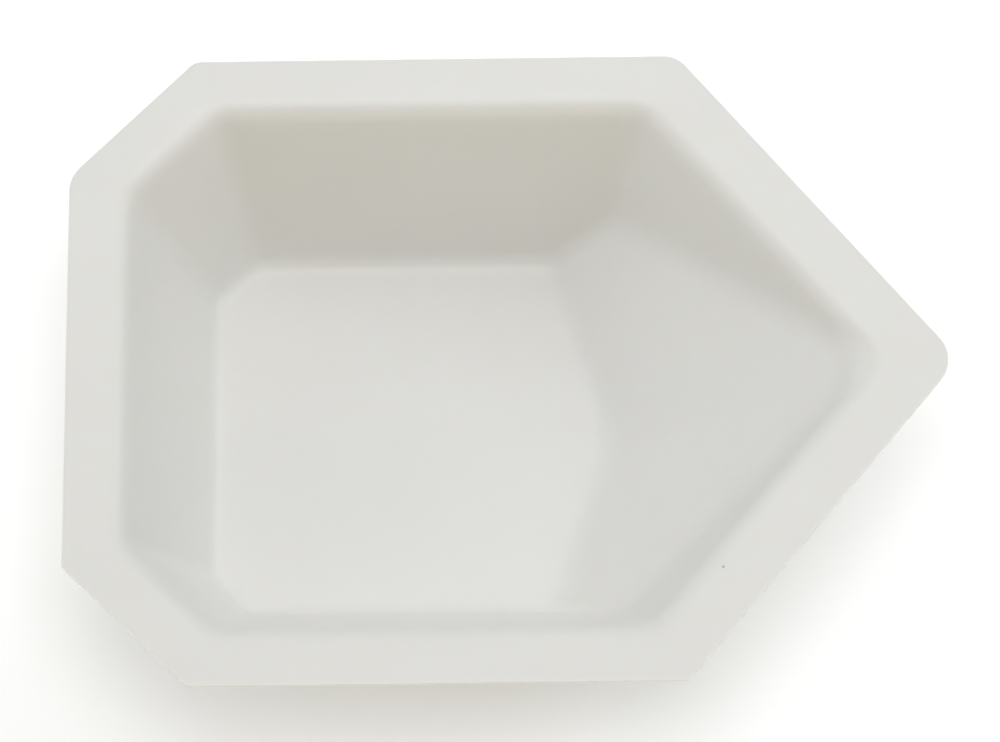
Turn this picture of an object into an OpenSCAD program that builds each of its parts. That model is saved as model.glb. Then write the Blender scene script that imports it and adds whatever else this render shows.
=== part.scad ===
// Weighing boat with a pouring spout.
// One sheet of even thickness, formed down into a walled tray inside a flat rim. The walls lean outwards,
// and in the spout half two facets climb from the floor to the rim and meet in a shallow valley.
// +X points to the spout, +Z is up, and the origin lies under the middle of the box, at the foot.

/* [Overall size] */
// Length, from the straight back edge to the rounded end of the spout
length = 87; // [84:0.5:120]
// Width across the two straight sides
width = 66.7; // [62:0.1:90]
// Height, from the foot to the top of the rim
height = 19; // [15:0.5:24]
// Thickness of the sheet
wall = 0.4; // [0.25:0.05:0.6]

/* [Outline] */
// Length of the spout, from its shoulders to the sharp tip that its two edges aim at
spout_length = 27.2; // [24:0.1:34]
// How far each back corner is cut off along the sides
back_cut_x = 12.4; // [9:0.1:15]
// How far each back corner is cut off along the back edge
back_cut_y = 12.5; // [9:0.1:15]
// Radius of the outline where the far back cut meets the side
cut_side_r = 1.8; // [0.4:0.1:4]
// Radius of the outline where the back edge meets the far back cut
cut_back_r = 3.7; // [0.4:0.1:6]
// Radius of the outline at the far shoulder
far_shoulder_r = 3; // [0.4:0.1:6]
// Radius of the outline at the end of the spout
tip_r = 3.5; // [1:0.1:5]
// Radius of the outline where the near back cut meets the side
near_cut_r = 1.2; // [0.4:0.1:4]
// Radius of the outline at the crisply trimmed corners
crisp_r = 0.5; // [0.3:0.1:2]

/* [Rim] */
// Width of the flat rim along the two sides, to the sharp upper edge of the well
side_rim = 5.6; // [4.5:0.1:8]
// Width of the flat rim along the back edge and the two cuts
back_rim = 5.7; // [4.5:0.1:8]
// Width of the flat rim along the two spout edges
spout_rim = 6.2; // [5:0.1:8]
// Radius with which the rim rolls over into the walls, on the upper face
rim_r = 2.6; // [1.2:0.1:3.2]

/* [Well] */
// How far the side walls and spout walls lean out of the upright, in degrees
draft = 24.8; // [18:0.2:28]
// How far the back wall and the two cut walls lean out of the upright, in degrees
back_draft = 23.4; // [18:0.2:28]
// Radius between the floor and the walls, on the upper face
floor_r = 2; // [1:0.1:3]
// Radius of the upright edges of the well, in plan
corner_r = 3.2; // [1:0.1:5]
// Radius of the well at the end of the spout, in plan
mouth_r = 4.1; // [1.5:0.1:5]

/* [Spout facets] */
// Distance from the back edge to the facets' foot beside the side walls
facet_start_side = 48.1; // [42:0.1:52]
// Distance from the back edge to the facets' foot on the middle line
facet_start_middle = 53.9; // [52:0.1:58]
// Radius between the floor and the facets
facet_foot_r = 4.4; // [1:0.1:8]
// Radius of the valley in which the facets meet
valley_r = 12; // [2:0.5:20]

/* [Hidden] */

// Spacing of the mesh along the straight edges of the outline
edge_step = 3.2;
// Turn of the outline arcs between two mesh lines, in degrees
arc_step = 13;
// Steps of the mesh round each of the three bends, and between two bends
bend_steps = 4;
facet_foot_steps = 3;
flat_steps = 2;
// Room kept for marks that a mesh line would otherwise cross out of order, as a share of the line
foot_room = 0.06;
facet_room = 0.1;
// Halvings with which a place along a mesh line is found
halvings = 22;
// Half the distance over which the slope of the sheet is taken
probe = 0.005;

half_w = width / 2;
back_half = half_w - back_cut_y;
// Directions that point straight out of the cut and of the spout edge, for the half with positive Y
cut_out = [-back_cut_y, back_cut_x] / norm([back_cut_x, back_cut_y]);
spout_out = [half_w, spout_length] / norm([half_w, spout_length]);

lean = tan(draft);
back_lean = tan(back_draft);
// Turn of the sheet from the flat into the wall
bend = 90 - draft;
drop = height - wall;
// Half the angle inside each upright edge of the well
back_half_angle = 90 - acos(-cut_out[0]) / 2;
cut_half_angle = 90 - acos(cut_out[1]) / 2;
shoulder_half_angle = 90 - acos(spout_out[1]) / 2;
mouth_half_angle = 90 - acos(spout_out[0]);
// The sharp tip lies past the rounded end
tip_x = length + tip_r * (1 / sin(mouth_half_angle) - 1);
shoulder_x = tip_x - spout_length;
// The facets reach the height of the rim where the sharp edges of the well meet in the spout
mouth_x = tip_x - spout_rim / spout_out[0];
facet_rise = drop / (mouth_x - facet_start_middle);
facet_tilt = facet_rise * (facet_start_middle - facet_start_side) / (half_w - side_rim - drop * lean);

// Smaller of two distances from an edge, with the corner between the edges rounded
function rounded_min(a, b, half_angle, r) =
    let (across = (a - b) / (2 * cos(half_angle)))
    abs(across) >= r * cos(half_angle)
        ? min(a, b)
        : ((a + b) / (2 * sin(half_angle)) + sqrt(r * r - across * across)) * sin(half_angle) - r;

// How far a place lies inside the sharp upper edge of the well. Behind the steeper back walls the distance
// is stretched, so that one rule of height serves every wall
function inset(x, y) =
    let (v = abs(y))
    let (stretch = lean / back_lean)
    let (from_back = (x - back_rim) * stretch)
    let (from_cut = (cut_out * [-x, back_half - v] - back_rim) * stretch)
    let (from_side = half_w - v - side_rim)
    let (from_spout = spout_out * [tip_x - x, -v] - spout_rim)
    let (from_other_spout = spout_out * [tip_x - x, v] - spout_rim)
    min(
        rounded_min(from_back, from_cut, back_half_angle, corner_r),
        rounded_min(from_cut, from_side, cut_half_angle, corner_r),
        rounded_min(from_side, from_spout, shoulder_half_angle, corner_r),
        rounded_min(from_spout, from_other_spout, mouth_half_angle, mouth_r));

// Rise of a sheet that bends by an angle from the flat into a slope, at a distance u past the sharp bend
function bent_rise(u, angle, r) =
    let (reach = r * tan(angle / 2))
    u <= -reach ? 0
        : u >= reach * cos(angle) ? u * tan(angle)
        : r - sqrt(r * r - (u + reach) * (u + reach));

// Distance past the foot of the facets, measured along the length
function past_foot(x, y) =
    let (half_valley = valley_r * sin(atan(facet_tilt)))
    let (v = abs(y))
    let (sideways = v >= half_valley ? v * facet_tilt
        : half_valley * facet_tilt + valley_r * cos(atan(facet_tilt)) - sqrt(valley_r * valley_r - v * v))
    x - facet_start_middle + sideways / facet_rise;

// Height of the floor and the facets, as if there were no walls
function bed(x, y) = wall + bent_rise(past_foot(x, y), atan(facet_rise), facet_foot_r);

// Distance past the sharp foot of the walls, towards the rim
function past_wall_foot(x, y) = (height - bed(x, y)) * lean - inset(x, y);

// Height of the well, as if the walls went on above the rim
function well(x, y) = bed(x, y) + bent_rise(past_wall_foot(x, y), bend, floor_r);

// How far below the rim the well lies, given as an inset of the wall
function fall(x, y) = (height - well(x, y)) * lean;

// Height of the upper face
function top(x, y) = height - bent_rise(fall(x, y), bend, rim_r);

// Point of the sheet, depth below the upper face and square to it
function sheet_point(p, depth) =
    let (slope_x = (top(p[0] + probe, p[1]) - top(p[0] - probe, p[1])) / (2 * probe))
    let (slope_y = (top(p[0], p[1] + probe) - top(p[0], p[1] - probe)) / (2 * probe))
    [p[0], p[1], top(p[0], p[1])] - depth * [-slope_x, -slope_y, 1] / norm([slope_x, slope_y, 1]);

// Outline of the trimmed sheet: sharp corners with their radii, anticlockwise from the tip
corners = [
    [tip_x, 0, tip_r],
    [shoulder_x, half_w, far_shoulder_r],
    [back_cut_x, half_w, cut_side_r],
    [0, back_half, cut_back_r],
    [0, -back_half, crisp_r],
    [back_cut_x, -half_w, near_cut_r],
    [shoulder_x, -half_w, crisp_r]];

function plan(corner) = [corner[0], corner[1]];
function unit(v) = v / norm(v);
function turned(v) = [-v[1], v[0]];

// Points along the arc that rounds a corner, with an even number of steps, so that one point is its middle
function corner_arc(i) =
    let (n = len(corners))
    let (here = plan(corners[i]))
    let (into = unit(here - plan(corners[(i + n - 1) % n])))
    let (out = unit(plan(corners[(i + 1) % n]) - here))
    let (r = corners[i][2])
    let (turn = acos(into * out))
    let (centre = here - into * r * tan(turn / 2) + turned(into) * r)
    let (steps = 2 * ceil(turn / (2 * arc_step)))
    [for (k = [0 : steps])
        let (a = k * turn / steps)
        centre - r * (turned(into) * cos(a) - into * sin(a))];

// Points between the arcs of two neighbouring corners
function edge_run(i) =
    let (arc = corner_arc(i))
    let (start = arc[len(arc) - 1])
    let (end = corner_arc((i + 1) % len(corners))[0])
    let (steps = ceil(norm(end - start) / edge_step))
    [for (k = [1 : steps - 1]) start + (end - start) * k / steps];

outline = [for (i = [0 : len(corners) - 1]) each concat(corner_arc(i), edge_run(i))];
middle = [(back_rim + drop * back_lean + facet_start_side) / 2, 0];

// Share of the way from the middle to an outline point at which a measure reaches a level
function reached(kind, level, p, low, high, n) =
    n == 0 ? (low + high) / 2
        : let (share = (low + high) / 2)
          let (q = middle + (p - middle) * share)
          measure(kind, q) < level
              ? reached(kind, level, p, share, high, n - 1)
              : reached(kind, level, p, low, share, n - 1);

// Measures that grow outwards: past the facets' foot, past the wall's foot, and up to the rim
function measure(kind, q) =
    kind == "facet" ? past_foot(q[0], q[1])
        : kind == "wall" ? past_wall_foot(q[0], q[1])
        : -fall(q[0], q[1]);

// Levels of a measure at equal turns round a bend
function bend_levels(angle, r, steps) =
    [for (k = [0 : steps]) -r * tan(angle / 2) + r * sin(angle * k / steps)];

facet_levels = bend_levels(atan(facet_rise), facet_foot_r, facet_foot_steps);
wall_levels = bend_levels(bend, floor_r, bend_steps);
rim_levels = [for (k = [bend_steps : -1 : 0]) -bend_levels(bend, rim_r, bend_steps)[k]];

// Marks along one mesh line, kept in order inside a limit
function kept_inside(marks, limit, room) =
    [for (k = [0 : len(marks) - 1]) min(marks[k], limit * (1 - room * (len(marks) - k) / len(marks)))];

// Marks evenly spaced between two marks
function between(a, b, steps) = [for (k = [1 : steps]) a + (b - a) * k / (steps + 1)];

// Shares of the way from the middle to an outline point at which its mesh line has a point
function marks(p) =
    let (rim = [for (level = rim_levels) reached("rim", level, p, 0, 1, halvings)])
    let (wall_free = [for (level = wall_levels) reached("wall", level, p, 0, 1, halvings)])
    let (foot = kept_inside(wall_free, rim[0], foot_room))
    let (facet_free = [for (level = facet_levels) reached("facet", level, p, 0, 1, halvings)])
    let (facet = kept_inside(facet_free, foot[0], facet_room))
    concat(
        facet,
        between(facet[len(facet) - 1], foot[0], flat_steps),
        foot,
        between(foot[len(foot) - 1], rim[0], flat_steps),
        rim,
        [1]);

lines = [for (p = outline) [for (share = marks(p)) middle + (p - middle) * share]];

// The sheet: rings of points on the upper face, then the same rings on the under face
module boat() {
    rings = len(lines[0]);
    around = len(lines);
    side = rings * around + 1;
    upper = concat(
        [sheet_point(middle, 0)],
        [for (ring = [0 : rings - 1]) for (line = lines) sheet_point(line[ring], 0)]);
    under = concat(
        [sheet_point(middle, wall)],
        [for (ring = [0 : rings - 1]) for (line = lines) sheet_point(line[ring], wall)]);
    last = 1 + (rings - 1) * around;
    floor_up = [for (k = [0 : around - 1]) [0, 1 + (k + 1) % around, 1 + k]];
    bands_up = [
        for (ring = [0 : rings - 2])
            for (k = [0 : around - 1])
                let (a = 1 + ring * around + k)
                let (b = 1 + ring * around + (k + 1) % around)
                each [[a, b, b + around], [a, b + around, a + around]]];
    faces_up = concat(floor_up, bands_up);
    faces_down = [for (f = faces_up) [f[2] + side, f[1] + side, f[0] + side]];
    rim_edge = [
        for (k = [0 : around - 1])
            let (a = last + k)
            let (b = last + (k + 1) % around)
            each [[a, b, b + side], [a, b + side, a + side]]];
    color("white")
        translate([-length / 2, 0, 0])
            polyhedron(
                points = concat(upper, under),
                faces = concat(faces_up, faces_down, rim_edge),
                convexity = 4);
}

boat();
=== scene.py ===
"""Weighing boat with a pouring spout: the formed sheet, its finish, the studio and the camera."""

import logging
import math
from dataclasses import dataclass, field
from enum import Enum

import bpy
from mathutils import Matrix, Vector


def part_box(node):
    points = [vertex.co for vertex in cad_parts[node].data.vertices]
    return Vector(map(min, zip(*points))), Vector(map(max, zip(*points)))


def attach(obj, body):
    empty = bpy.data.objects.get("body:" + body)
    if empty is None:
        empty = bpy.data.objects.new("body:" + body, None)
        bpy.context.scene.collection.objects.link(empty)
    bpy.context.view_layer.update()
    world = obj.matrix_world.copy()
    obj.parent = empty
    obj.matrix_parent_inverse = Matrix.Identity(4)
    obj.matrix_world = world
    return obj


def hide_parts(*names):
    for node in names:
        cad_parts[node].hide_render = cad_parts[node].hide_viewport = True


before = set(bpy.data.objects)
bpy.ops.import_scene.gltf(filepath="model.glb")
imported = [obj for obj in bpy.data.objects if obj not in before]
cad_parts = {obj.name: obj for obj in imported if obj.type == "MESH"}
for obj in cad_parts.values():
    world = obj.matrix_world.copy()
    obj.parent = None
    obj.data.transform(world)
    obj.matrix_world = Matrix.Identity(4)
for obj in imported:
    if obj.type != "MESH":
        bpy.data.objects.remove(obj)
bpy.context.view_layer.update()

MM = 0.001
LOG = logging.getLogger("weighing_boat")

Number = float | bpy.types.NodeSocket


# ---------------------------------------------------------------------------------------------------
# Arithmetic with nodes
# ---------------------------------------------------------------------------------------------------


@dataclass(frozen=True)
class Term:
    """A number in a node tree, which ordinary arithmetic joins to other numbers.

    Args:
        tree: the tree that new Math nodes go into.
        value: a plain number or the output socket that holds it.
    """

    tree: bpy.types.NodeTree
    value: Number

    def _math(self, operation: str, *others: "Term | float") -> "Term":
        """Add one Math node.

        Args:
            operation: the Math node's own name for what it does.
            others: the numbers that follow this one.

        Returns:
            The node's result.
        """
        node = self.tree.nodes.new("ShaderNodeMath")
        node.operation = operation
        for socket, term in zip(node.inputs, (self, *others)):
            value = term.value if isinstance(term, Term) else term
            if isinstance(value, bpy.types.NodeSocket):
                self.tree.links.new(value, socket)
            else:
                socket.default_value = value
        return Term(self.tree, node.outputs[0])

    def __add__(self, other: "Term | float") -> "Term":
        """Sum."""
        return self._math("ADD", other)

    def __sub__(self, other: "Term | float") -> "Term":
        """Difference."""
        return self._math("SUBTRACT", other)

    def __rsub__(self, other: float) -> "Term":
        """Difference, with a plain number first."""
        return Term(self.tree, other)._math("SUBTRACT", self)

    def __mul__(self, other: "Term | float") -> "Term":
        """Product."""
        return self._math("MULTIPLY", other)

    def __rmul__(self, other: float) -> "Term":
        """Product, with a plain number first."""
        return self._math("MULTIPLY", other)

    def __truediv__(self, other: "Term | float") -> "Term":
        """Quotient."""
        return self._math("DIVIDE", other)

    def __abs__(self) -> "Term":
        """Size without sign."""
        return self._math("ABSOLUTE")

    def root(self) -> "Term":
        """Square root."""
        return self._math("SQRT")

    def smaller(self, other: "Term | float") -> "Term":
        """Smaller of two."""
        return self._math("MINIMUM", other)

    def larger(self, other: "Term | float") -> "Term":
        """Larger of two."""
        return self._math("MAXIMUM", other)

    def sin(self) -> "Term":
        """Sine."""
        return self._math("SINE")

    def cos(self) -> "Term":
        """Cosine."""
        return self._math("COSINE")

    def tan(self) -> "Term":
        """Tangent."""
        return self._math("TANGENT")

    def arccos(self) -> "Term":
        """Angle with this cosine."""
        return self._math("ARCCOSINE")

    def arctan(self) -> "Term":
        """Angle with this tangent."""
        return self._math("ARCTANGENT")

    def hypot(self, other: "Term") -> "Term":
        """Length of the diagonal of two sides."""
        return (self * self + other * other).root()


# ---------------------------------------------------------------------------------------------------
# Sizes
# ---------------------------------------------------------------------------------------------------


@dataclass(frozen=True)
class SheetSizes:
    """Sizes of the formed sheet in metres and radians. The first three come from the frame."""

    length: float
    width: float
    height: float
    wall: float = 0.4 * MM
    spout_length: float = 27.2 * MM
    back_cut_x: float = 12.4 * MM
    back_cut_y: float = 12.5 * MM
    tip_r: float = 3.5 * MM
    far_shoulder_r: float = 3.0 * MM
    cut_side_r: float = 1.8 * MM
    cut_back_r: float = 3.7 * MM
    near_cut_r: float = 1.2 * MM
    crisp_r: float = 0.5 * MM
    side_rim: float = 5.6 * MM
    back_rim: float = 5.7 * MM
    spout_rim: float = 6.2 * MM
    rim_r: float = 2.6 * MM
    draft: float = math.radians(24.8)
    back_draft: float = math.radians(23.4)
    floor_r: float = 2.0 * MM
    corner_r: float = 3.2 * MM
    mouth_r: float = 4.1 * MM
    facet_start_side: float = 48.1 * MM
    facet_start_middle: float = 53.9 * MM
    facet_foot_r: float = 4.4 * MM
    valley_r: float = 12.0 * MM

    @property
    def tip_x(self) -> float:
        """Distance from the back edge to the sharp tip that the spout edges aim at."""
        half_angle = math.atan2(self.width / 2, self.spout_length)
        return self.length + self.tip_r * (1 / math.sin(half_angle) - 1)

    @property
    def shoulder_x(self) -> float:
        """Distance from the back edge to the shoulders."""
        return self.tip_x - self.spout_length


# ---------------------------------------------------------------------------------------------------
# The trimmed blank
# ---------------------------------------------------------------------------------------------------


@dataclass(frozen=True)
class Corner:
    """A corner of the trimmed outline, with X from the back edge and the radius that rounds it."""

    place: Vector
    radius: float


@dataclass
class Blank:
    """The flat trimmed sheet before forming: lines from the middle to the outline, and rings across.

    Args:
        sizes: the sheet's sizes.
    """

    sizes: SheetSizes
    arc_step: float = math.radians(6)
    edge_step: float = 0.62 * MM
    rim_step: float = 0.5 * MM
    wall_step: float = 0.34 * MM
    bed_rings: int = 56
    rim_start: float = 4.0 * MM
    wall_end: float = 17.0 * MM
    least_share: float = 0.004

    @property
    def corners(self) -> list[Corner]:
        """Corners, anticlockwise from the tip."""
        s = self.sizes
        half = s.width / 2
        back_half = half - s.back_cut_y
        return [
            Corner(Vector((s.tip_x, 0)), s.tip_r),
            Corner(Vector((s.shoulder_x, half)), s.far_shoulder_r),
            Corner(Vector((s.back_cut_x, half)), s.cut_side_r),
            Corner(Vector((0, back_half)), s.cut_back_r),
            Corner(Vector((0, -back_half)), s.crisp_r),
            Corner(Vector((s.back_cut_x, -half)), s.near_cut_r),
            Corner(Vector((s.shoulder_x, -half)), s.crisp_r),
        ]

    @property
    def middle(self) -> Vector:
        """Where the mesh lines meet, on the floor of the well."""
        s = self.sizes
        floor_start = s.back_rim + (s.height - s.wall) * math.tan(s.back_draft)
        return Vector(((floor_start + s.facet_start_side) / 2, 0))

    def corner_arc(self, index: int) -> list[Vector]:
        """Points along the arc that rounds one corner.

        Args:
            index: the corner's place in the list.

        Returns:
            The arc's points, anticlockwise.
        """
        corners = self.corners
        here = corners[index]
        into = (here.place - corners[index - 1].place).normalized()
        out = (corners[(index + 1) % len(corners)].place - here.place).normalized()
        inward = Vector((-into.y, into.x))
        turn = into.angle(out)
        centre = here.place - into * here.radius * math.tan(turn / 2) + inward * here.radius
        steps = max(2, math.ceil(turn / self.arc_step))
        angles = [turn * k / steps for k in range(steps + 1)]
        return [centre - here.radius * (inward * math.cos(a) - into * math.sin(a)) for a in angles]

    def outline(self) -> list[Vector]:
        """Points round the trimmed outline, anticlockwise."""
        arcs = [self.corner_arc(index) for index in range(len(self.corners))]
        points: list[Vector] = []
        for index, arc in enumerate(arcs):
            start, end = arc[-1], arcs[(index + 1) % len(arcs)][0]
            steps = max(1, math.ceil((end - start).length / self.edge_step))
            points += arc
            points += [start.lerp(end, k / steps) for k in range(1, steps)]
        return points

    def share_at(self, target: Vector, depth: float) -> float:
        """Find where a mesh line lies a given depth inside the outline's straight edges.

        Args:
            target: the mesh line's end on the outline.
            depth: distance from the nearest straight edge.

        Returns:
            The share of the way from the middle to the target.
        """
        corners = self.corners
        run = target - self.middle
        shares = []
        for index, corner in enumerate(corners):
            along = (corners[(index + 1) % len(corners)].place - corner.place).normalized()
            outward = Vector((along.y, -along.x))
            speed = outward.dot(run)
            if speed > 0:
                shares.append((outward.dot(corner.place - self.middle) - depth) / speed)
        return min(shares)

    def rings(self) -> list[float]:
        """Depths of the rings that follow the outline, from the outside in."""
        depths = []
        depth = self.rim_step
        while depth < self.wall_end:
            depths.append(depth)
            depth += self.rim_step if depth < self.rim_start else self.wall_step
        return depths

    def build(self, back_x: float) -> bpy.types.Object:
        """Make the blank as a flat mesh at height zero, facing up.

        Args:
            back_x: where the back edge lies along X.

        Returns:
            The new object, linked to the scene.
        """
        outline = self.outline()
        depths = self.rings()
        shift = Vector((back_x, 0))
        verts = [(self.middle + shift).to_3d()]
        lines = []
        for target in outline:
            # A rounded corner cuts across the outermost rings, which then close up inside it
            shares = [1.0]
            for depth in depths:
                shares.append(min(self.share_at(target, depth), shares[-1] - self.least_share))
            inner = shares[-1]
            shares += [inner * (1 - k / self.bed_rings) for k in range(1, self.bed_rings)]
            lines.append([(self.middle.lerp(target, share) + shift).to_3d() for share in shares])
        rings = len(lines[0])
        around = len(lines)
        verts += [line[ring] for ring in range(rings) for line in lines]
        faces = []
        for ring in range(rings - 1):
            for k in range(around):
                a = 1 + ring * around + k
                b = 1 + ring * around + (k + 1) % around
                faces.append((a, b, b + around, a + around))
        last = 1 + (rings - 1) * around
        faces += [(0, last + k, last + (k + 1) % around) for k in range(around)]
        mesh = bpy.data.meshes.new("blank")
        mesh.from_pydata(verts, [], faces)
        mesh.validate()
        blank = bpy.data.objects.new("blank", mesh)
        bpy.context.scene.collection.objects.link(blank)
        return blank


# ---------------------------------------------------------------------------------------------------
# Forming
# ---------------------------------------------------------------------------------------------------


@dataclass(frozen=True)
class Unevenness:
    """How far a drawn sheet strays from its tool: a slow warp and a fine ripple, in metres."""

    warp: float = 0.10 * MM
    warp_scale: float = 22.0
    ripple: float = 0.012 * MM
    ripple_scale: float = 260.0
    seed: int = 7


@dataclass
class FormingTree:
    """The Geometry Nodes tree that draws a flat blank down into the boat.

    Args:
        sizes: the sheet's sizes, which become the tree's named inputs.
        back_x: where the back edge lies along X.
        uneven: the sheet's unevenness.
    """

    sizes: SheetSizes
    back_x: float
    uneven: Unevenness = field(default_factory=Unevenness)
    tree: bpy.types.NodeTree = field(init=False)
    terms: dict[str, Term] = field(init=False, default_factory=dict)
    identifiers: dict[str, str] = field(init=False, default_factory=dict)

    INPUTS = {
        "Height": "height",
        "Wall": "wall",
        "Half Width": "half_width",
        "Back Edge X": "back_x",
        "Tip X": "tip_x",
        "Spout Length": "spout_length",
        "Back Cut X": "back_cut_x",
        "Back Cut Y": "back_cut_y",
        "Side Rim": "side_rim",
        "Back Rim": "back_rim",
        "Spout Rim": "spout_rim",
        "Rim Radius": "rim_r",
        "Draft": "draft",
        "Back Draft": "back_draft",
        "Floor Radius": "floor_r",
        "Corner Radius": "corner_r",
        "Mouth Radius": "mouth_r",
        "Facet Start Side": "facet_start_side",
        "Facet Start Middle": "facet_start_middle",
        "Facet Foot Radius": "facet_foot_r",
        "Valley Radius": "valley_r",
        "Warp": "warp",
        "Ripple": "ripple",
    }

    def values(self) -> dict[str, float]:
        """Numbers for the tree's inputs, by field name."""
        numbers = dict(vars(self.sizes))
        numbers["half_width"] = self.sizes.width / 2
        numbers["back_x"] = self.back_x
        numbers["tip_x"] = self.sizes.tip_x
        numbers["warp"] = self.uneven.warp
        numbers["ripple"] = self.uneven.ripple
        return numbers

    def build(self) -> None:
        """Make the tree: its inputs, the rule of height, and the output."""
        self.tree = bpy.data.node_groups.new("form_sheet", "GeometryNodeTree")
        face = self.tree.interface
        face.new_socket("Blank", in_out="INPUT", socket_type="NodeSocketGeometry")
        for name in self.INPUTS:
            socket = face.new_socket(name, in_out="INPUT", socket_type="NodeSocketFloat")
            self.identifiers[name] = socket.identifier
        socket = face.new_socket("Finish", in_out="INPUT", socket_type="NodeSocketMaterial")
        self.identifiers["Finish"] = socket.identifier
        face.new_socket("Boat", in_out="OUTPUT", socket_type="NodeSocketGeometry")
        entry = self.tree.nodes.new("NodeGroupInput")
        for name, key in self.INPUTS.items():
            self.terms[key] = Term(self.tree, entry.outputs[name])
        place = self.tree.nodes.new("GeometryNodeInputPosition")
        split = self.tree.nodes.new("ShaderNodeSeparateXYZ")
        self.tree.links.new(place.outputs[0], split.inputs[0])
        across = Term(self.tree, split.outputs["Y"])
        from_back = Term(self.tree, split.outputs["X"]) - self.terms["back_x"]
        height = self.top(from_back, across) + self.stray()
        joined = self.tree.nodes.new("ShaderNodeCombineXYZ")
        self.tree.links.new(split.outputs["X"], joined.inputs["X"])
        self.tree.links.new(split.outputs["Y"], joined.inputs["Y"])
        self.tree.links.new(height.value, joined.inputs["Z"])
        steps = ["GeometryNodeSetPosition", "GeometryNodeSetShadeSmooth",
                 "GeometryNodeRealizeInstances", "GeometryNodeSetMaterial"]
        flow = entry.outputs["Blank"]
        for kind in steps:
            node = self.tree.nodes.new(kind)
            self.tree.links.new(flow, node.inputs["Geometry"])
            if kind == "GeometryNodeSetPosition":
                self.tree.links.new(joined.outputs[0], node.inputs["Position"])
            if kind == "GeometryNodeSetMaterial":
                self.tree.links.new(entry.outputs["Finish"], node.inputs["Material"])
            flow = node.outputs["Geometry"]
        exit_node = self.tree.nodes.new("NodeGroupOutput")
        self.tree.links.new(flow, exit_node.inputs["Boat"])

    def rounded_min(self, a: Term, b: Term, half_angle: Term, radius: Term) -> Term:
        """Join two distances from edges, with the corner between the edges rounded.

        Args:
            a: distance inside the first edge.
            b: distance inside the second edge.
            half_angle: half the angle inside the corner.
            radius: radius of the corner, in plan.

        Returns:
            Distance inside the rounded pair of edges.
        """
        across = abs((a - b) / (2.0 * half_angle.cos()))
        along = (a + b) / (2.0 * half_angle.sin())
        on_arc = across.smaller(radius * half_angle.cos())
        sagitta = (radius * radius - on_arc * on_arc).root()
        return (along + sagitta) * half_angle.sin() - radius - (across - on_arc) * half_angle.cos()

    def bent_rise(self, u: Term, angle: Term, radius: Term) -> Term:
        """Rise of a sheet that bends by an angle from the flat into a slope.

        Args:
            u: distance past the sharp bend.
            angle: the turn of the bend.
            radius: radius of the bend.

        Returns:
            Height above the flat.
        """
        reach = radius * (angle / 2.0).tan()
        on_arc = (u + reach).larger(0.0).smaller(radius * angle.sin())
        past = (u - reach * angle.cos()).larger(0.0)
        return radius - (radius * radius - on_arc * on_arc).root() + past * angle.tan()

    def inset(self, x: Term, y: Term) -> Term:
        """How far a place lies inside the sharp upper edge of the well.

        Args:
            x: distance from the back edge.
            y: distance from the middle line.

        Returns:
            The inset, stretched behind the steeper back walls.
        """
        t = self.terms
        side = abs(y)
        quarter = math.pi / 2
        cut_diagonal = t["back_cut_x"].hypot(t["back_cut_y"])
        cut_x, cut_y = t["back_cut_y"] / cut_diagonal, t["back_cut_x"] / cut_diagonal
        spout_diagonal = t["half_width"].hypot(t["spout_length"])
        spout_x, spout_y = t["half_width"] / spout_diagonal, t["spout_length"] / spout_diagonal
        stretch = t["draft"].tan() / t["back_draft"].tan()
        back_half = t["half_width"] - t["back_cut_y"]
        from_back = (x - t["back_rim"]) * stretch
        from_cut = (x * cut_x + (back_half - side) * cut_y - t["back_rim"]) * stretch
        from_side = t["half_width"] - side - t["side_rim"]
        to_tip = (t["tip_x"] - x) * spout_x - t["spout_rim"]
        from_spout = to_tip - side * spout_y
        from_other_spout = to_tip + side * spout_y
        corner = t["corner_r"]
        pairs = [
            self.rounded_min(from_back, from_cut, quarter - cut_x.arccos() / 2.0, corner),
            self.rounded_min(from_cut, from_side, quarter - cut_y.arccos() / 2.0, corner),
            self.rounded_min(from_side, from_spout, quarter - spout_y.arccos() / 2.0, corner),
            self.rounded_min(from_spout, from_other_spout, quarter - spout_x.arccos(), t["mouth_r"]),
        ]
        result = pairs[0]
        for pair in pairs[1:]:
            result = result.smaller(pair)
        return result

    def bed(self, x: Term, y: Term) -> Term:
        """Height of the floor and the spout facets, as if there were no walls.

        Args:
            x: distance from the back edge.
            y: distance from the middle line.

        Returns:
            The height.
        """
        t = self.terms
        drop = t["height"] - t["wall"]
        spout_x = t["half_width"] / t["half_width"].hypot(t["spout_length"])
        mouth_x = t["tip_x"] - t["spout_rim"] / spout_x
        rise = drop / (mouth_x - t["facet_start_middle"])
        foot_run = t["facet_start_middle"] - t["facet_start_side"]
        foot_half = t["half_width"] - t["side_rim"] - drop * t["draft"].tan()
        tilt = rise * foot_run / foot_half
        tilt_angle = tilt.arctan()
        side = abs(y)
        on_arc = side.smaller(t["valley_r"] * tilt_angle.sin())
        sagitta = (t["valley_r"] * t["valley_r"] - on_arc * on_arc).root()
        sharp = t["valley_r"] * (tilt_angle.sin() * tilt + tilt_angle.cos())
        sideways = sharp - sagitta + (side - on_arc) * tilt
        past_foot = x - t["facet_start_middle"] + sideways / rise
        return t["wall"] + self.bent_rise(past_foot, rise.arctan(), t["facet_foot_r"])

    def top(self, x: Term, y: Term) -> Term:
        """Height of the upper face of the sheet.

        Args:
            x: distance from the back edge.
            y: distance from the middle line.

        Returns:
            The height.
        """
        t = self.terms
        lean = t["draft"].tan()
        bend = math.pi / 2 - t["draft"]
        bed = self.bed(x, y)
        past_wall_foot = (t["height"] - bed) * lean - self.inset(x, y)
        well = bed + self.bent_rise(past_wall_foot, bend, t["floor_r"])
        return t["height"] - self.bent_rise((t["height"] - well) * lean, bend, t["rim_r"])

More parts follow.
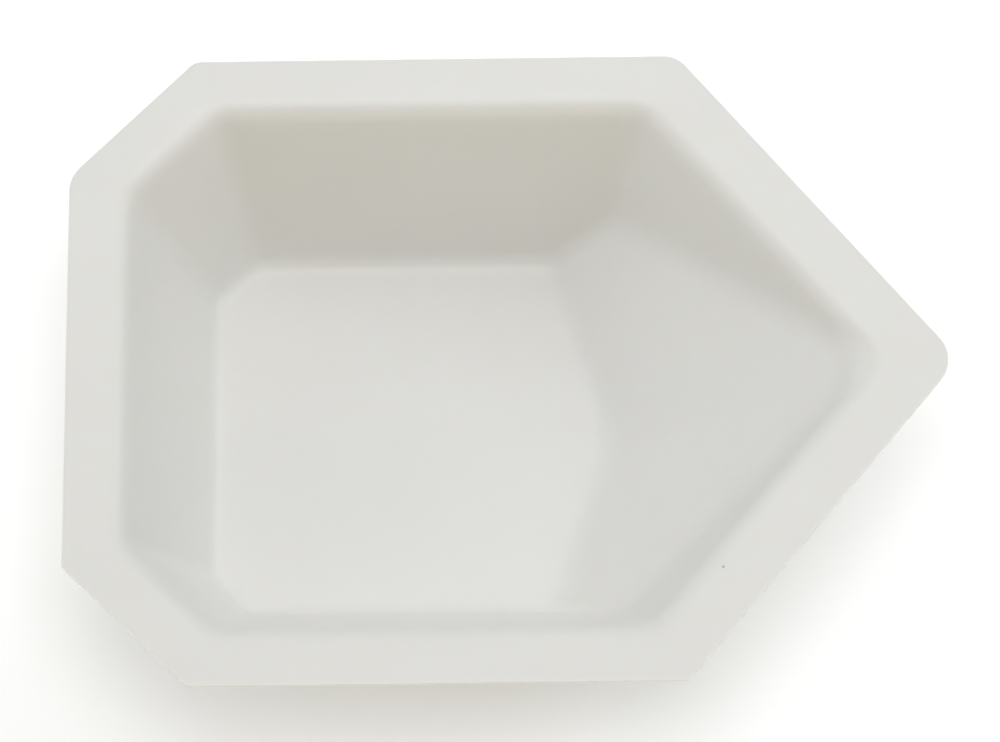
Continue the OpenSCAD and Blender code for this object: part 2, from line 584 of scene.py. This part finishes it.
    def stray(self) -> Term:
        """Slow warp and fine ripple of the drawn sheet, as a height."""
        place = self.tree.nodes.new("GeometryNodeInputPosition")
        total = Term(self.tree, 0.0)
        layers = [("warp", self.uneven.warp_scale, 1.0), ("ripple", self.uneven.ripple_scale, 2.0)]
        for key, scale, detail in layers:
            noise = self.tree.nodes.new("ShaderNodeTexNoise")
            noise.noise_dimensions = "4D"
            noise.inputs["W"].default_value = self.uneven.seed
            noise.inputs["Scale"].default_value = scale
            noise.inputs["Detail"].default_value = detail
            self.tree.links.new(place.outputs[0], noise.inputs["Vector"])
            level = Term(self.tree, noise.outputs[0]) - 0.5
            total = level * self.terms[key] * 2.0 + total
        return total

    def apply(self, blank: bpy.types.Object, finish: bpy.types.Material) -> None:
        """Put the tree on the blank as a modifier, with every input set.

        Args:
            blank: the flat sheet.
            finish: the sheet's material.
        """
        modifier = blank.modifiers.new("form", "NODES")
        modifier.node_group = self.tree
        numbers = self.values()
        for name, key in self.INPUTS.items():
            modifier[self.identifiers[name]] = numbers[key]
        modifier[self.identifiers["Finish"]] = finish


# ---------------------------------------------------------------------------------------------------
# Finish
# ---------------------------------------------------------------------------------------------------


@dataclass(frozen=True)
class MilkySheet:
    """Satin, milky white polystyrene sheet with a fine grain, faint draw marks and one dark fleck."""

    name: str = "milky_polystyrene"
    light_tone: tuple[float, float, float] = (0.742, 0.734, 0.708)
    deep_tone: tuple[float, float, float] = (0.728, 0.719, 0.691)
    roughness: float = 0.44
    roughness_swing: float = 0.10
    ior: float = 1.59
    subsurface: float = 1.0
    scatter: tuple[float, float, float] = (1.0, 0.94, 0.84)
    scatter_depth: float = 0.2 * MM
    cloud_scale: float = 70.0
    cloud_share: float = 0.6
    streak_scale: tuple[float, float, float] = (60.0, 240.0, 900.0)
    streak_share: float = 0.4
    tone_contrast: float = 2.2
    grain_scale: float = 5200.0
    grain_depth: float = 0.0035 * MM
    peel_scale: float = 650.0
    peel_depth: float = 0.006 * MM
    fleck_place: tuple[float, float, float] = (0.0209, -0.0217, 0.019)
    fleck_radius: float = 0.13 * MM
    fleck_tone: tuple[float, float, float] = (0.42, 0.39, 0.35)

    def noise(self, tree: bpy.types.NodeTree, vector: bpy.types.NodeSocket, scale: float,
              detail: float) -> bpy.types.NodeSocket:
        """Add a noise texture.

        Args:
            tree: the material's tree.
            vector: where the noise is read.
            scale: patches per metre.
            detail: finer layers.

        Returns:
            The noise's height, about 0.5 on average.
        """
        node = tree.nodes.new("ShaderNodeTexNoise")
        node.inputs["Scale"].default_value = scale
        node.inputs["Detail"].default_value = detail
        tree.links.new(vector, node.inputs["Vector"])
        return node.outputs[0]

    def stretch(self, tree: bpy.types.NodeTree, vector: bpy.types.NodeSocket) -> bpy.types.NodeSocket:
        """Stretch the coordinates so that a noise becomes long level streaks.

        Args:
            tree: the material's tree.
            vector: the piece's own coordinates.

        Returns:
            The stretched coordinates.
        """
        node = tree.nodes.new("ShaderNodeMapping")
        node.inputs["Scale"].default_value = self.streak_scale
        tree.links.new(vector, node.inputs["Vector"])
        return node.outputs[0]

    def tone(self, tree: bpy.types.NodeTree, place: bpy.types.NodeSocket,
             clouds: Term) -> bpy.types.NodeSocket:
        """Mix the two tones by clouds and streaks, and set the fleck in.

        Args:
            tree: the material's tree.
            place: the piece's own coordinates.
            clouds: slow cloudiness, about 0.5 on average.

        Returns:
            The base colour.
        """
        streaks = Term(tree, self.noise(tree, self.stretch(tree, place), 1.0, 2.0))
        marks = clouds * self.cloud_share + streaks * self.streak_share - 0.5
        amount = (marks * self.tone_contrast + 0.5).larger(0.0).smaller(1.0)
        mix = tree.nodes.new("ShaderNodeMix")
        mix.data_type = "RGBA"
        mix.inputs["A"].default_value = (*self.deep_tone, 1.0)
        mix.inputs["B"].default_value = (*self.light_tone, 1.0)
        tree.links.new(amount.value, mix.inputs["Factor"])
        away = tree.nodes.new("ShaderNodeVectorMath")
        away.operation = "DISTANCE"
        away.inputs[1].default_value = self.fleck_place
        tree.links.new(place, away.inputs[0])
        inside = (1.5 - Term(tree, away.outputs["Value"]) / self.fleck_radius).larger(0.0).smaller(1.0)
        fleck = tree.nodes.new("ShaderNodeMix")
        fleck.data_type = "RGBA"
        fleck.inputs["B"].default_value = (*self.fleck_tone, 1.0)
        tree.links.new(mix.outputs["Result"], fleck.inputs["A"])
        tree.links.new(inside.value, fleck.inputs["Factor"])
        return fleck.outputs["Result"]

    def relief(self, tree: bpy.types.NodeTree, place: bpy.types.NodeSocket) -> bpy.types.NodeSocket:
        """Fine grain over a slight orange peel.

        Args:
            tree: the material's tree.
            place: the piece's own coordinates.

        Returns:
            The bumped normal.
        """
        normal = None
        for scale, depth in ((self.peel_scale, self.peel_depth), (self.grain_scale, self.grain_depth)):
            bump = tree.nodes.new("ShaderNodeBump")
            bump.inputs["Distance"].default_value = depth
            tree.links.new(self.noise(tree, place, scale, 1.0), bump.inputs["Height"])
            if normal is not None:
                tree.links.new(normal, bump.inputs["Normal"])
            normal = bump.outputs["Normal"]
        return normal

    def build(self) -> bpy.types.Material:
        """Make the material."""
        material = bpy.data.materials.new(self.name)
        material.use_nodes = True
        tree = material.node_tree
        tree.nodes.clear()
        shader = tree.nodes.new("ShaderNodeBsdfPrincipled")
        out = tree.nodes.new("ShaderNodeOutputMaterial")
        tree.links.new(shader.outputs["BSDF"], out.inputs["Surface"])
        place = tree.nodes.new("ShaderNodeTexCoord").outputs["Object"]
        clouds = Term(tree, self.noise(tree, place, self.cloud_scale, 2.0))
        tree.links.new(self.tone(tree, place, clouds), shader.inputs["Base Color"])
        tree.links.new(self.relief(tree, place), shader.inputs["Normal"])
        rough = (clouds - 0.5) * self.roughness_swing + self.roughness
        tree.links.new(rough.value, shader.inputs["Roughness"])
        shader.inputs["IOR"].default_value = self.ior
        shader.inputs["Subsurface Weight"].default_value = self.subsurface
        shader.inputs["Subsurface Radius"].default_value = self.scatter
        shader.inputs["Subsurface Scale"].default_value = self.scatter_depth
        return material


# ---------------------------------------------------------------------------------------------------
# The boat
# ---------------------------------------------------------------------------------------------------


@dataclass
class WeighingBoat:
    """The boat: one sheet, trimmed, drawn down and given its thickness.

    Args:
        sizes: the sheet's sizes.
        finish: the sheet's finish.
        back_x: where the back edge lies along X.
    """

    sizes: SheetSizes
    finish: MilkySheet
    back_x: float
    edge_bevel: float = 0.07 * MM
    edge_segments: int = 2
    edge_angle: float = math.radians(60)
    crease_angle: float = math.radians(38)

    def form(self) -> bpy.types.Object:
        """Draw the blank down into the boat and give it thickness.

        Returns:
            The finished piece, as a plain mesh at the origin.
        """
        blank = Blank(self.sizes).build(self.back_x)
        tree = FormingTree(self.sizes, self.back_x)
        tree.build()
        material = self.finish.build()
        tree.apply(blank, material)
        gauge = blank.modifiers.new("gauge", "SOLIDIFY")
        gauge.thickness = self.sizes.wall
        gauge.offset = -1.0
        gauge.use_even_offset = True
        cut = blank.modifiers.new("cut_edge", "BEVEL")
        cut.width = self.edge_bevel
        cut.segments = self.edge_segments
        cut.limit_method = "ANGLE"
        cut.angle_limit = self.edge_angle
        evaluated = blank.evaluated_get(bpy.context.evaluated_depsgraph_get())
        mesh = bpy.data.meshes.new_from_object(evaluated)
        mesh.name = "formed_sheet"
        boat = bpy.data.objects.new("formed_sheet", mesh)
        bpy.context.scene.collection.objects.link(boat)
        bpy.data.objects.remove(blank)
        mesh.shade_smooth()
        mesh.set_sharp_from_angle(angle=self.crease_angle)
        if not mesh.materials:
            mesh.materials.append(material)
        return boat

    def build(self) -> bpy.types.Object:
        """Form the boat and tie it to the frame."""
        boat = self.form()
        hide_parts("boat")
        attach(boat, "root")
        return boat


# ---------------------------------------------------------------------------------------------------
# Studio
# ---------------------------------------------------------------------------------------------------


class Tint(Enum):
    """Colour of a studio light."""

    NEUTRAL = (1.0, 1.0, 1.0)
    WARM = (1.0, 0.88, 0.58)
    COOL = (0.88, 0.94, 1.0)


@dataclass(frozen=True)
class SoftBox:
    """A large soft light that faces the boat."""

    name: str
    place: tuple[float, float, float]
    size: float
    power: float
    tint: Tint = Tint.NEUTRAL

    def build(self, target: Vector) -> bpy.types.Object:
        """Hang the light.

        Args:
            target: the point that it faces.

        Returns:
            The light's object.
        """
        lamp = bpy.data.lights.new(self.name, "AREA")
        lamp.shape = "SQUARE"
        lamp.size = self.size
        lamp.energy = self.power
        lamp.color = self.tint.value
        light = bpy.data.objects.new(self.name, lamp)
        light.location = self.place
        light.rotation_euler = (target - Vector(self.place)).to_track_quat("-Z", "Y").to_euler()
        bpy.context.scene.collection.objects.link(light)
        return light


@dataclass
class Studio:
    """Pale floor, soft light all round and a large soft box behind the boat."""

    floor_half: float = 1.6
    floor_tone: tuple[float, float, float] = (0.96, 0.96, 0.96)
    floor_roughness: float = 0.9
    floor_specular: float = 0.1
    floor_glow: float = 0.13
    sky_tone: tuple[float, float, float] = (1.0, 1.0, 1.0)
    sky_strength: float = 0.235
    lights: tuple[SoftBox, ...] = (
        SoftBox("overhead_soft_box", (0.0, 0.0, 1.3), 0.9, 7.0),
        SoftBox("back_soft_box", (0.0, 0.26, 0.26), 0.16, 0.14),
        SoftBox("left_back_soft_box", (-0.28, 0.29, 0.22), 0.18, 0.13),
        SoftBox("right_back_soft_box", (0.35, 0.35, 0.4), 0.3, 0.28),
        SoftBox("right_soft_box", (0.45, 0.1, 0.4), 0.35, 0.98, Tint.COOL),
        SoftBox("left_soft_box", (-0.45, 0.1, 0.4), 0.35, 0.25, Tint.COOL),
        SoftBox("left_low_soft_box", (-0.9, 0.0, 0.3), 0.5, 1.4, Tint.COOL),
        SoftBox("front_soft_box", (0.0, -1.0, 0.35), 0.6, 2.15, Tint.WARM),
    )

    def floor(self) -> bpy.types.Object:
        """Lay the floor."""
        h = self.floor_half
        mesh = bpy.data.meshes.new("studio_floor")
        mesh.from_pydata([(-h, -h, 0), (h, -h, 0), (h, h, 0), (-h, h, 0)], [], [(0, 1, 2, 3)])
        floor = bpy.data.objects.new("studio_floor", mesh)
        material = bpy.data.materials.new("pale_floor")
        material.use_nodes = True
        shader = material.node_tree.nodes["Principled BSDF"]
        shader.inputs["Base Color"].default_value = (*self.floor_tone, 1.0)
        shader.inputs["Roughness"].default_value = self.floor_roughness
        shader.inputs["Specular IOR Level"].default_value = self.floor_specular
        shader.inputs["Emission Color"].default_value = (1.0, 1.0, 1.0, 1.0)
        shader.inputs["Emission Strength"].default_value = self.floor_glow
        mesh.materials.append(material)
        bpy.context.scene.collection.objects.link(floor)
        return floor

    def sky(self) -> None:
        """Light the scene evenly from all round."""
        world = bpy.data.worlds.new("soft_sky")
        world.use_nodes = True
        back = world.node_tree.nodes["Background"]
        back.inputs["Color"].default_value = (*self.sky_tone, 1.0)
        back.inputs["Strength"].default_value = self.sky_strength
        bpy.context.scene.world = world

    def build(self, target: Vector) -> None:
        """Lay the floor and set up the light.

        Args:
            target: the point that the soft boxes face.
        """
        self.floor()
        self.sky()
        for light in self.lights:
            light.build(target)
        bpy.context.scene.view_settings.view_transform = "Standard"


@dataclass(frozen=True)
class Viewpoint:
    """The camera: looking steeply down from the near side, with the spout to the right.

    Args:
        rim_height: height of the rim, which it looks at.
    """

    rim_height: float
    aim_shift: tuple[float, float, float] = (-0.66 * MM, -0.66 * MM, -0.28 * MM)
    distance: float = 628.99 * MM
    lens: float = 229.9
    sensor: float = 36.0
    tilt: float = math.radians(22.74)
    lean: float = math.radians(0.72)
    roll: float = math.radians(-0.44)

    def build(self) -> bpy.types.Object:
        """Place the camera and make it the scene's own."""
        turn = (Matrix.Rotation(self.lean, 3, "Y") @ Matrix.Rotation(self.tilt, 3, "X")
                @ Matrix.Rotation(self.roll, 3, "Z"))
        data = bpy.data.cameras.new("camera")
        data.lens = self.lens
        data.sensor_width = self.sensor
        data.clip_start = 0.05
        camera = bpy.data.objects.new("camera", data)
        aim = Vector((0, 0, self.rim_height)) + Vector(self.aim_shift)
        place = aim + turn @ Vector((0, 0, self.distance))
        camera.matrix_world = Matrix.Translation(place) @ turn.to_4x4()
        bpy.context.scene.collection.objects.link(camera)
        bpy.context.scene.camera = camera
        return camera


# ---------------------------------------------------------------------------------------------------
# The whole scene
# ---------------------------------------------------------------------------------------------------


def main() -> None:
    """Build the boat, the studio and the camera."""
    logging.basicConfig(level=logging.INFO, format="%(name)s: %(message)s")
    low, high = (Vector(corner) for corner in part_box("boat"))
    size = high - low
    Viewpoint(rim_height=size.z).build()
    sizes = SheetSizes(length=size.x, width=size.y, height=size.z)
    boat = WeighingBoat(sizes, MilkySheet(), back_x=low.x).build()
    LOG.info("%s: %d faces", boat.name, len(boat.data.polygons))
    Studio().build(target=Vector((0, 0, size.z / 2)))
    LOG.info("studio and camera set up")


if __name__ == "__main__":
    main()
